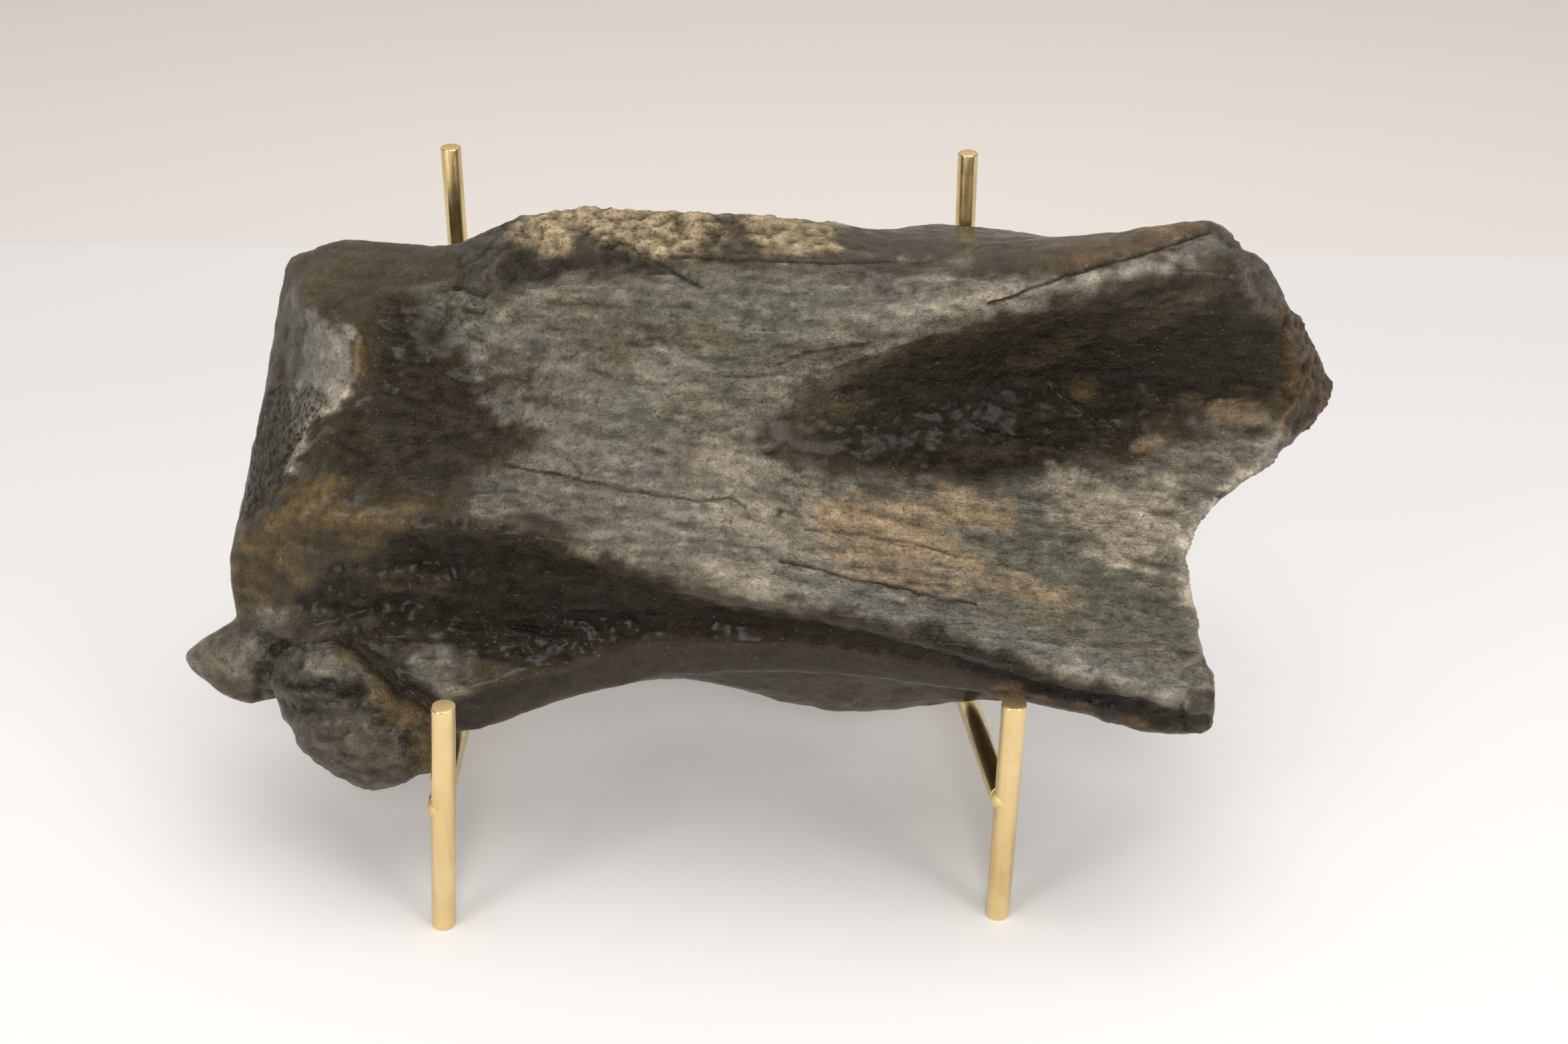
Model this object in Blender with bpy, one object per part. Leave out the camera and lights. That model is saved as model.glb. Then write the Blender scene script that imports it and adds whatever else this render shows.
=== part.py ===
# Fossil bone resting on a stand of brass rods, life size.
# Metres, +Z up, the viewer stands at -Y and the bone's length runs along X.
# The bone is lofted through named rails that run from its left end to its right end.

import math
import random

import bmesh
import bpy
import numpy as np
from mathutils import Matrix, Vector

MM = 0.001

# The bone leans back on its stand: V climbs its face, W stands out of its face
BONE_LEAN = math.radians(57.0)
BONE_CENTRE_HEIGHT = 100.0 * MM

# Stand rods: thicker legs and struts, thinner posts
LEG_RADIUS = 3.175 * MM
POST_RADIUS = 2.8 * MM
ROD_SIDES = 16
ROD_EDGE = 0.4 * MM
JOINT_GAP = 0.3 * MM
POST_Y = 67.9 * MM
CROSS_BAR_HEIGHT = 32.0 * MM
STAND_SIDES = {
    "left": {
        "leg_y": -60.0 * MM, "foot_x": -90.0 * MM, "tip_x": -85.2 * MM, "leg_height": 69.0 * MM,
        "strut_x": -88.3 * MM, "strut_height": 38.2 * MM, "strut_end_x": -96.0 * MM, "strut_end_height": 4.6 * MM,
        "post_x": -92.6 * MM, "post_height": 169.8 * MM,
    },
    "right": {
        "leg_y": -55.9 * MM, "foot_x": 56.8 * MM, "tip_x": 58.0 * MM, "leg_height": 67.2 * MM,
        "strut_x": 56.2 * MM, "strut_height": 38.0 * MM, "strut_end_x": 50.5 * MM, "strut_end_height": 7.8 * MM,
        "post_x": 51.2 * MM, "post_height": 168.1 * MM,
    },
}

# Front rails, from the lower border to the upper one, each from left to right.
# A point is (u, v, w) in millimetres: along the bone, up its face, out of its face.
FRONT_RAILS = {
    "lower border": [
        (-139, -43, -6), (-108, -66, 2), (-84, -66, 8), (-57, -57.2, 5), (-31, -51.6, 2),
        (4, -50.3, 2), (38, -53.8, 9), (71, -60, 20), (90, -64.6, 24), (106, -65, 24),
    ],
    "lip crest": [
        (-142, -38, 0), (-104, -50, 14), (-84, -55, 18), (-57, -48, 15), (-31, -43.5, 12),
        (4, -43.5, 12), (38, -49, 18), (71, -57.5, 28), (106.5, -63.3, 31),
    ],
    "groove": [
        (-142.5, -31, 2), (-104, -34, 14), (-75, -37, 15), (-45, -35, 15),
        (-10, -36.5, 13), (30, -43.5, 18), (71, -54.5, 28), (106.5, -60.8, 30),
    ],
    "lower ridge": [
        (-144, -20, 6), (-125, -7.8, 18), (-97, -9, 26), (-63.5, -17.6, 30), (-29.7, -26.2, 32),
        (-4.6, -31.3, 34), (20.3, -38, 36), (53.3, -46.8, 38), (107, -57, 37),
    ],
    "low plate": [
        (-143, -8, 2), (-124, 2, 14), (-97, 2, 22), (-60, -6, 28), (-20, -14, 29),
        (20, -24, 25), (60, -32, 24), (104, -31, 15),
    ],
    "high plate": [
        (-140.5, 12, -4), (-123, 13, 14), (-99, 13, 17), (-58, 7, 27), (-20, 0, 26),
        (20, -9, 16), (60, -14, 11), (105.5, -13, 4),
    ],
    "valley": [
        (-138, 30, -6), (-113, 28, 18), (-100, 25, 14), (-82, 21, 18), (-56, 19, 26), (-30, 16, 26),
        (-5, 11.5, 20), (21, 7.2, 10), (60, 3.5, 2), (100, 2.5, -2), (126.5, 6.5, -3),
    ],
    "hollow": [
        (-136, 43, -6), (-116, 41, 17), (-101, 39, 14), (-80, 34, 19), (-40, 32, 27),
        (-5, 27, 25), (25, 24, 16), (60, 27, 5), (100, 29, 1), (138.5, 28.5, 0),
    ],
    "upper ridge": [
        (-134, 53, -4), (-127, 51, 9), (-112, 50, 13), (-97, 50, 15), (-70, 47, 22), (-30.2, 45, 27),
        (10, 41, 29), (54.7, 45.5, 30), (88.7, 51.5, 29), (124, 52, 20),
    ],
    "upper edge": [
        (-132, 63, -7), (-120, 66.3, -4), (-104, 64.5, 0), (-87, 63.5, 6), (-71, 70, 9), (-55, 72, 10), (-31.5, 71.3, 10),
        (4, 69, 8), (26, 65.5, 3), (48, 63.3, 8), (78, 64.3, 12), (112, 68.3, 13),
    ],
    "upper border": [
        (-131, 62, -16), (-118, 65.5, -16), (-104, 63.5, -16), (-84, 62, -16), (-60, 67, -16), (-15, 67, -19),
        (13, 70, -24), (41, 75.2, -27), (66, 73, -25), (90, 66, -16), (116, 64, 0),
    ],
}
# Rows of faces between one rail and the next
FRONT_ROWS = (2, 2, 2, 3, 3, 3, 3, 3, 3, 3)

# The unseen back: height v and depth w of each rail at four places along it
BACK_STATIONS = (-88, -30, 18, 54)
BACK_RAILS = [
    {"name": "underside", "v": (-60, -49, -51, -53), "w": (-18, -22, -22, -18)},
    {"name": "keel", "v": (-59.3, -52, -61.5, -58.3), "w": (-40, -43, -46, -44)},
    {"name": "keel back", "v": (-45, -42, -50, -47), "w": (-45, -50, -54, -52)},
    {"name": "low back", "v": (-28, -26, -31, -29), "w": (-40, -44, -46, -44)},
    {"name": "back plate", "v": (-10, -9, -11, -10), "w": (-36, -34, -33, -33)},
    {"name": "back valley", "v": (10, 10, 8, 8), "w": (-34, -29, -28, -28)},
    {"name": "high back", "v": (28, 28, 27, 27), "w": (-36, -27, -25, -27)},
    {"name": "back ridge", "v": (44, 45, 46, 46), "w": (-39, -28, -27, -31)},
    {"name": "back shoulder", "v": (57, 58, 61, 65), "w": (-40, -30, -31, -34)},
]
BACK_ROWS = (3, 3, 2, 2, 3, 3, 3, 3, 2, 3)

# How far each inner rail's back lies behind its front at the two ends, and how much further it reaches
LEFT_END_DEPTH = (12, 20, 26, 28, 28, 28, 27, 25, 19)
RIGHT_END_DEPTH = (14, 18, 22, 9, 4, 5, 18, 26, 18)
RIGHT_END_REACH = (0, 0, 0, 0.5, 1.5, 5, 12.5, 10, 6)
LENGTH_STEPS = 58
END_CROWDING = 0.035

# Rounding of the ends, in steps and as the largest bulge
END_STEPS = 4
LEFT_BULGE = 4.0
RIGHT_BULGE = 1.6
FRACTURE_ROUGHNESS = 1.3
FRACTURE_FIRST_ROW = 0.68
FRACTURE_SEED = 7

# Millimetre points closer than this are one point
MERGE_SPAN = 0.05
SMALLEST_EDGE = 0.01
SHARP_EDGE = math.radians(50.0)

# Lumps at the lower left: centre, radii, turn in the face plane in degrees, pinch of the left tip
LUMPS = {
    "knob": {"centre": (-111.2, -58.8, 2.5), "radii": (26.5, 18.0, 17.5), "turn": -40.0, "pinch": 0.0},
    "spur": {"centre": (-142.0, -46.0, -11), "radii": (20.5, 11.5, 12.5), "turn": -4.0, "pinch": 0.5},
}
LUMP_SEGMENTS = 24
LUMP_RINGS = 14

FINISHES = {
    "fossil": {"color": (0.075, 0.062, 0.048, 1.0), "roughness": 0.42, "metallic": 0.0},
    "brass": {"color": (0.62, 0.42, 0.14, 1.0), "roughness": 0.28, "metallic": 1.0},
}


def clear_scene():
    for item in list(bpy.data.objects):
        bpy.data.objects.remove(item)


def make_material(name):
    finish = FINISHES[name]
    material = bpy.data.materials.new(name)
    material.use_nodes = True
    shader = material.node_tree.nodes["Principled BSDF"]
    shader.inputs["Base Color"].default_value = finish["color"]
    shader.inputs["Roughness"].default_value = finish["roughness"]
    shader.inputs["Metallic"].default_value = finish["metallic"]
    return material


def make_object(name, bm, material):
    mesh = bpy.data.meshes.new(name)
    bm.to_mesh(mesh)
    bm.free()
    mesh.shade_smooth()
    mesh.set_sharp_from_angle(angle=SHARP_EDGE)
    mesh.materials.append(material)
    item = bpy.data.objects.new(name, mesh)
    bpy.context.scene.collection.objects.link(item)
    return item


# Smooth curves

def smooth_through(points, positions, samples):
    # Cubic through the points at the given positions, read at the samples
    points = np.asarray(points, dtype=float)
    positions = np.asarray(positions, dtype=float)
    tangents = np.gradient(points, positions, axis=0)
    index = np.clip(np.searchsorted(positions, samples, side="right") - 1, 0, len(positions) - 2)
    width = positions[index + 1] - positions[index]
    f = ((samples - positions[index]) / width)[:, None]
    width = width[:, None]
    start = points[index]
    end = points[index + 1]
    start_pull = tangents[index] * width
    end_pull = tangents[index + 1] * width
    curve = (2 * f**3 - 3 * f**2 + 1) * start
    curve += (f**3 - 2 * f**2 + f) * start_pull
    curve += (3 * f**2 - 2 * f**3) * end
    curve += (f**3 - f**2) * end_pull
    return curve


def sample_rail(points, samples):
    points = np.asarray(points, dtype=float)
    spans = np.linalg.norm(np.diff(points, axis=0), axis=1)
    positions = np.concatenate(([0.0], np.cumsum(spans))) / np.sum(spans)
    return smooth_through(points, positions, samples)


def loft_rows(rails, rows_between, length_samples):
    # Rows of points, first index across the rails, second along the bone
    sampled = np.array([sample_rail(rail, length_samples) for rail in rails])
    across = []
    for segment, count in enumerate(rows_between):
        across += [segment + step / count for step in range(count)]
    across.append(len(rails) - 1)
    across = np.array(across, dtype=float)
    positions = np.arange(len(rails), dtype=float)
    columns = [smooth_through(sampled[:, column], positions, across) for column in range(sampled.shape[1])]
    return np.stack(columns, axis=1)


# Bone

def back_rails(front):
    rails = [front[0]]
    for number, entry in enumerate(BACK_RAILS):
        left = np.array(front[number + 1][0], dtype=float)
        right = np.array(front[number + 1][-1], dtype=float)
        left += (0.0, 0.0, -LEFT_END_DEPTH[number])
        right += (RIGHT_END_REACH[number], 0.0, -RIGHT_END_DEPTH[number])
        rails.append([tuple(left), *zip(BACK_STATIONS, entry["v"], entry["w"]), tuple(right)])
    rails.append(front[-1])
    return rails


def end_cap(front_end, back_end, outward, bulge):
    # Points from the front row's end round to the back row's end
    middle = (front_end + back_end) / 2
    half = (front_end - back_end) / 2
    size = np.linalg.norm(half, axis=1, keepdims=True)
    reach = np.minimum(size, bulge) * outward
    rings = []
    for step in range(1, END_STEPS):
        angle = math.pi * step / END_STEPS
        rings.append(middle + half * math.cos(angle) + reach * math.sin(angle))
    return rings


def break_end(rows):
    # Roughens the broken upper prong at the right end, most at the very end
    random.seed(FRACTURE_SEED)
    first = int(len(rows) * FRACTURE_FIRST_ROW)
    for row in range(first, len(rows) - 1):
        for column, share in ((-1, 1.0), (-2, 0.5)):
            for axis in range(3):
                rows[row, column, axis] += random.uniform(-1.0, 1.0) * FRACTURE_ROUGHNESS * share


def bone_shell():
    # Columns crowd a little towards the ends, where the shape changes fastest
    even = np.linspace(0.0, 1.0, LENGTH_STEPS + 1)
    samples = even - END_CROWDING * np.sin(2 * math.pi * even)
    front = list(FRONT_RAILS.values())
    back = back_rails(front)
    front_rows = loft_rows(front, FRONT_ROWS, samples)
    back_rows = loft_rows(back, BACK_ROWS, samples)
    break_end(front_rows)
    break_end(back_rows)
    to_left = np.array((-1.0, 0.0, 0.0))
    to_right = np.array((1.0, 0.0, 0.0))
    left_cap = end_cap(front_rows[:, 0], back_rows[:, 0], to_left, LEFT_BULGE)
    right_cap = end_cap(front_rows[:, -1], back_rows[:, -1], to_right, RIGHT_BULGE)

    # One band of rows round the bone: front, right end, back, left end
    loops = [front_rows[:, column] for column in range(front_rows.shape[1])]
    loops += right_cap
    loops += [back_rows[:, column] for column in reversed(range(back_rows.shape[1]))]
    loops += reversed(left_cap)

    bm = bmesh.new()
    grid = [[bm.verts.new(point) for point in loop] for loop in loops]
    for number, loop in enumerate(grid):
        following = grid[(number + 1) % len(grid)]
        for row in range(len(loop) - 1):
            bm.faces.new((loop[row], following[row], following[row + 1], loop[row + 1]))
    bmesh.ops.remove_doubles(bm, verts=bm.verts, dist=MERGE_SPAN)
    bmesh.ops.dissolve_degenerate(bm, edges=bm.edges, dist=SMALLEST_EDGE)
    bmesh.ops.recalc_face_normals(bm, faces=bm.faces)
    return bm


def lump_shape(entry):
    bm = bmesh.new()
    bmesh.ops.create_uvsphere(bm, u_segments=LUMP_SEGMENTS, v_segments=LUMP_RINGS, radius=1.0)
    # The poles point along the lump's length
    bmesh.ops.rotate(bm, verts=bm.verts, cent=(0, 0, 0), matrix=Matrix.Rotation(math.radians(90.0), 3, "Y"))
    for vert in bm.verts:
        narrowing = 1.0 - entry["pinch"] * max(-vert.co.x, 0.0) ** 1.5
        vert.co.y *= narrowing
        vert.co.z *= narrowing
    bmesh.ops.scale(bm, verts=bm.verts, vec=entry["radii"])
    turn = Matrix.Rotation(math.radians(entry["turn"]), 3, "Z")
    bmesh.ops.rotate(bm, verts=bm.verts, cent=(0, 0, 0), matrix=turn)
    bmesh.ops.translate(bm, verts=bm.verts, vec=entry["centre"])
    return bm


def bone_to_world():
    # Columns are the bone's own u, v and w directions
    climb = Vector((0.0, math.cos(BONE_LEAN), math.sin(BONE_LEAN)))
    stand_out = Vector((0.0, -math.sin(BONE_LEAN), math.cos(BONE_LEAN)))
    turn = Matrix((Vector((1.0, 0.0, 0.0)), climb, stand_out)).transposed().to_4x4()
    return Matrix.Translation((0.0, 0.0, BONE_CENTRE_HEIGHT)) @ turn @ Matrix.Scale(MM, 4)


def build_bone(material):
    # The shell is one body, and the union sets the lumps into it
    placing = bone_to_world()
    shell = bone_shell()
    shell.transform(placing)
    bone = make_object("fossil_bone", shell, material)
    pieces = bpy.data.collections.new("bone lumps")
    for name, entry in LUMPS.items():
        lump = lump_shape(entry)
        lump.transform(placing)
        item = make_object("lump " + name, lump, material)
        bpy.context.scene.collection.objects.unlink(item)
        pieces.objects.link(item)
    union = bone.modifiers.new("lumps", "BOOLEAN")
    union.operation = "UNION"
    union.operand_type = "COLLECTION"
    union.collection = pieces
    union.solver = "EXACT"
    graph = bpy.context.evaluated_depsgraph_get()
    joined = bpy.data.meshes.new_from_object(bone.evaluated_get(graph))
    bone.modifiers.clear()
    bone.data = joined
    joined.name = "fossil_bone"
    for item in list(pieces.objects):
        bpy.data.objects.remove(item)
    bpy.data.collections.remove(pieces)
    keep_largest_body(joined)
    return bone


def keep_largest_body(mesh):
    bm = bmesh.new()
    bm.from_mesh(mesh)
    bmesh.ops.remove_doubles(bm, verts=bm.verts, dist=SMALLEST_EDGE * MM)
    remaining = set(bm.verts)
    bodies = []
    while remaining:
        reached = [remaining.pop()]
        body = list(reached)
        while reached:
            for edge in reached.pop().link_edges:
                for vert in edge.verts:
                    if vert in remaining:
                        remaining.remove(vert)
                        reached.append(vert)
                        body.append(vert)
        bodies.append(body)
    bodies.sort(key=len)
    scraps = [vert for body in bodies[:-1] for vert in body]
    bmesh.ops.delete(bm, geom=scraps, context="VERTS")
    bmesh.ops.triangulate(bm, faces=bm.faces)
    bm.to_mesh(mesh)
    bm.free()
    mesh.shade_smooth()


# Stand

def rod_shape(radius, length):
    # Upright rod from the floor, with a slight edge at both ends
    bm = bmesh.new()
    bmesh.ops.create_cone(bm, cap_ends=True, segments=ROD_SIDES, radius1=radius, radius2=radius, depth=length)
    bmesh.ops.translate(bm, verts=bm.verts, vec=(0, 0, length / 2))
    ends = [edge for edge in bm.edges if len({round(vert.co.z, 6) for vert in edge.verts}) == 1]
    bmesh.ops.bevel(bm, geom=ends, offset=ROD_EDGE, segments=1, profile=0.5, affect="EDGES", material=-1)
    return bm


def upright_rod(name, radius, foot, tip_x, height, material):
    bm = rod_shape(radius, height)
    # A leaning rod is sheared, so its foot and tip stay level
    lean = (tip_x - foot[0]) / height
    for vert in bm.verts:
        vert.co.x += vert.co.z * lean
    bmesh.ops.translate(bm, verts=bm.verts, vec=(foot[0], foot[1], 0.0))
    return make_object(name, bm, material)


def slanted_rod(name, radius, start, end, material):
    span = Vector(end) - Vector(start)
    bm = rod_shape(radius, span.length)
    turn = span.to_track_quat("Z", "Y").to_matrix().to_4x4()
    bm.transform(Matrix.Translation(start) @ turn)
    return make_object(name, bm, material)


def build_stand(material):
    for side, sizes in STAND_SIDES.items():
        foot = (sizes["foot_x"], sizes["leg_y"])
        upright_rod("stand_leg_" + side, LEG_RADIUS, foot, sizes["tip_x"], sizes["leg_height"], material)
        post_foot = (sizes["post_x"], POST_Y)
        upright_rod("stand_post_" + side, POST_RADIUS, post_foot, sizes["post_x"], sizes["post_height"], material)

        # Each strut runs from the back of its leg down to the front of its post
        high = Vector((sizes["strut_x"], sizes["leg_y"], sizes["strut_height"]))
        low = Vector((sizes["strut_end_x"], POST_Y, sizes["strut_end_height"]))
        along = (low - high).normalized()
        spread = LEG_RADIUS * abs(along.z / along.y) + JOINT_GAP
        start = high + along * (LEG_RADIUS + spread) / along.y
        end = low - along * (POST_RADIUS + spread) / along.y
        slanted_rod("stand_strut_" + side, LEG_RADIUS, start, end, material)

    left = STAND_SIDES["left"]["post_x"] + POST_RADIUS + JOINT_GAP
    right = STAND_SIDES["right"]["post_x"] - POST_RADIUS - JOINT_GAP
    start = (left, POST_Y, CROSS_BAR_HEIGHT)
    end = (right, POST_Y, CROSS_BAR_HEIGHT)
    slanted_rod("stand_cross_bar", POST_RADIUS, start, end, material)


def centre_on_base():
    # The origin goes to the middle of the model's base
    corners = np.array([item.matrix_world @ vert.co for item in bpy.data.objects for vert in item.data.vertices])
    low = corners.min(axis=0)
    high = corners.max(axis=0)
    shift = Matrix.Translation((-(low[0] + high[0]) / 2, -(low[1] + high[1]) / 2, -low[2]))
    for item in bpy.data.objects:
        item.data.transform(shift)


clear_scene()
build_bone(make_material("fossil"))
build_stand(make_material("brass"))
centre_on_base()
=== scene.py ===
# Fossil bone resting on a stand of brass rods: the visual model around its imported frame
import math

import bmesh
import bpy
import numpy as np
from mathutils import Matrix, Vector, noise


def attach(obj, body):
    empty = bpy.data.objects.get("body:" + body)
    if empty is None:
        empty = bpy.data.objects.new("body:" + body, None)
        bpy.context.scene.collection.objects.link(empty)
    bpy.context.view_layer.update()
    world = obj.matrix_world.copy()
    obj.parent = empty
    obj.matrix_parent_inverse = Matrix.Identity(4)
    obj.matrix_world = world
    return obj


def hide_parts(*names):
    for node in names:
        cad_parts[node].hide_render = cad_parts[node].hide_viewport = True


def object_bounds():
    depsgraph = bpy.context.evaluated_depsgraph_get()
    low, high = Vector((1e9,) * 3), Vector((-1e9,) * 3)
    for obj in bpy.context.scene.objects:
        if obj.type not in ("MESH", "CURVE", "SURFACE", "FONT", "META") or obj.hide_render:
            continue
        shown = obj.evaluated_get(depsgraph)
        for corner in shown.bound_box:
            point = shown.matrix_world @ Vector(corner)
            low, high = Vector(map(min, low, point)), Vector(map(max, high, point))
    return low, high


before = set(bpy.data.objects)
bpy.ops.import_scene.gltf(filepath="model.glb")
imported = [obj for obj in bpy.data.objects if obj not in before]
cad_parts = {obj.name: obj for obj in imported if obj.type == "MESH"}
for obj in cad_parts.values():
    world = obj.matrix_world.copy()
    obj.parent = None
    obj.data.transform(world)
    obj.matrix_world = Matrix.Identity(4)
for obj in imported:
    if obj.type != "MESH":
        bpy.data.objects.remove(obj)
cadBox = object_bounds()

mm = 0.001


# Camera, floor and light

view = {"place": (0.00595, -0.53626, 0.3834), "lookDown": 29.0, "lens": 51.97, "sensor": 36.0}


def makeCamera():
    camera = bpy.data.objects.new("camera", bpy.data.cameras.new("camera"))
    camera.data.lens = view["lens"]
    camera.data.sensor_width = view["sensor"]
    camera.location = view["place"]
    camera.rotation_euler = (math.radians(90 - view["lookDown"]), 0, 0)
    bpy.context.scene.collection.objects.link(camera)
    bpy.context.scene.camera = camera


room = {
    "floorSize": 8.0, "wallLine": 0.405, "wallTurn": 1.2,
    "table": (0.87, 0.845, 0.83), "wall": (0.88, 0.815, 0.755), "seam": 0.004,
    "tableRoughness": 0.75,
    "skyTop": (0.50, 0.50, 0.50), "skyFront": (0.16, 0.135, 0.10), "skySeen": (0.80, 0.77, 0.74),
    "skyTilt": (0.0, 0.6, 1.0), "skyDim": 0.10, "skyBright": 0.80,  # where the sky starts and stops brightening
}

lampAim = 0.1  # height that every lamp points at, m
lamps = {
    "topLight": {"place": (0.10, -0.15, 1.35), "size": 1.3, "power": 10.8},
    "keyLight": {"place": (0.05, -1.30, 0.95), "size": 0.35, "power": 6.0},
    "leftLight": {"place": (-1.15, -1.25, 0.55), "size": 0.6, "power": 10.5},
    "rightLight": {"place": (1.15, -1.25, 0.55), "size": 0.6, "power": 10.0},
}


def linkNodes(tree, pairs):
    for source, target in pairs:
        tree.links.new(source, target)


def makeFloor():
    bm = bmesh.new()
    bmesh.ops.create_grid(bm, x_segments=1, y_segments=1, size=room["floorSize"] / 2)
    mesh = bpy.data.meshes.new("floor")
    bm.to_mesh(mesh)
    bm.free()
    floor = bpy.data.objects.new("floor", mesh)
    bpy.context.scene.collection.objects.link(floor)
    material = bpy.data.materials.new("paleTable")
    material.use_nodes = True
    tree = material.node_tree
    shader = tree.nodes["Principled BSDF"]
    shader.inputs["Roughness"].default_value = room["tableRoughness"]
    place = tree.nodes.new("ShaderNodeTexCoord")
    turn = tree.nodes.new("ShaderNodeMapping")
    turn.inputs["Rotation"].default_value = (0, 0, math.radians(room["wallTurn"]))
    split = tree.nodes.new("ShaderNodeSeparateXYZ")
    edge = tree.nodes.new("ShaderNodeMapRange")
    edge.inputs["From Min"].default_value = room["wallLine"] - room["seam"]
    edge.inputs["From Max"].default_value = room["wallLine"] + room["seam"]
    tone = tree.nodes.new("ShaderNodeMix")
    tone.data_type = "RGBA"
    tone.inputs["A"].default_value = (*room["table"], 1)
    tone.inputs["B"].default_value = (*room["wall"], 1)
    linkNodes(tree, [
        (place.outputs["Object"], turn.inputs["Vector"]),
        (turn.outputs["Vector"], split.inputs["Vector"]),
        (split.outputs["Y"], edge.inputs["Value"]),
        (edge.outputs["Result"], tone.inputs["Factor"]),
    ])
    tree.links.new([o for o in tone.outputs if o.type == "RGBA"][0], shader.inputs["Base Color"])
    mesh.materials.append(material)


def makeLamps():
    for name, facts in lamps.items():
        lamp = bpy.data.lights.new(name, "AREA")
        lamp.size = facts["size"]
        lamp.energy = facts["power"]
        item = bpy.data.objects.new(name, lamp)
        item.location = facts["place"]
        aim = Vector((0, 0, lampAim)) - Vector(facts["place"])
        item.rotation_euler = aim.to_track_quat("-Z", "Y").to_euler()
        bpy.context.scene.collection.objects.link(item)


def makeSky():
    # A pale room for the camera; what lights the bone is bright above and dim behind the camera
    world = bpy.data.worlds.new("studio")
    bpy.context.scene.world = world
    world.use_nodes = True
    tree = world.node_tree
    sky = tree.nodes["Background"]
    place = tree.nodes.new("ShaderNodeTexCoord")
    rise = tree.nodes.new("ShaderNodeVectorMath")
    rise.operation = "DOT_PRODUCT"
    rise.inputs[1].default_value = room["skyTilt"]
    ramp = tree.nodes.new("ShaderNodeValToRGB")
    ramp.color_ramp.elements[0].position = room["skyDim"]
    ramp.color_ramp.elements[0].color = (*room["skyFront"], 1)
    ramp.color_ramp.elements[1].position = room["skyBright"]
    ramp.color_ramp.elements[1].color = (*room["skyTop"], 1)
    path = tree.nodes.new("ShaderNodeLightPath")
    seen = tree.nodes.new("ShaderNodeMix")
    seen.data_type = "RGBA"
    seen.inputs["B"].default_value = (*room["skySeen"], 1)
    linkNodes(tree, [
        (place.outputs["Generated"], rise.inputs[0]),
        (rise.outputs["Value"], ramp.inputs["Fac"]),
        (ramp.outputs["Color"], seen.inputs["A"]),
        (path.outputs["Is Camera Ray"], seen.inputs["Factor"]),
        (seen.outputs["Result"], sky.inputs["Color"]),
    ])


makeCamera()
makeFloor()
makeSky()
makeLamps()
bpy.context.scene.view_settings.view_transform = "Standard"
print("camera, floor and lights made")


# Bone

bone = {
    "lean": 57.0, "centre": (5.954, -3.763, 100.0),  # turn and place of the bone's own axes, mm
    "voxel": 1.35, "smoothing": 7,
    "grain": 0.32, "coarseGrain": 1.0, "crestGrain": 0.32,  # relief all over, on worn places, on the crest
    "wrinkles": 0.65, "chips": 0.6, "crackDepth": 0.8, "crackWidth": 0.45,
    "slant": 0.16, "wrinkleStretch": 4.5, "streakStretch": 3.5,  # course of the wrinkles and streaks
    "fineReach": 2.0,  # the mesh is finer this near to a crack or a narrow fold, mm
    "rimReach": 2.4, "inset": 0.02,  # how far the ends' outlines move, gap kept inside the CAD box, mm
    "edgeWander": 2.4, "edgeFray": 0.5, "waver": 0.5,  # how far markings and lines stray, mm
    # cavityShade darkens the hollows as painted shade; edgeHighlight lightens proud edges as a painted
    # highlight
    "cavityShade": 0.55, "edgeHighlight": 0.6, "streaks": 0.34, "mottling": 0.16,
}

# Noise: size of its features in mm, seed, octaves
patterns = {
    "edgeWander": (9.0, 3, 3), "edgeFray": (2.6, 7, 2), "waver": (5.0, 21, 2), "grain": (6.0, 31, 2),
    "coarseGrain": (2.6, 33, 2), "knobbly": (4.2, 35, 3), "wrinkles": (3.4, 51, 2), "patchy": (12.0, 41, 3),
    "spots": (3.2, 43, 3), "broad": (38.0, 45, 3), "streaks": (3.4, 49, 3), "crackFade": (7.0, 47, 2),
}

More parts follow.
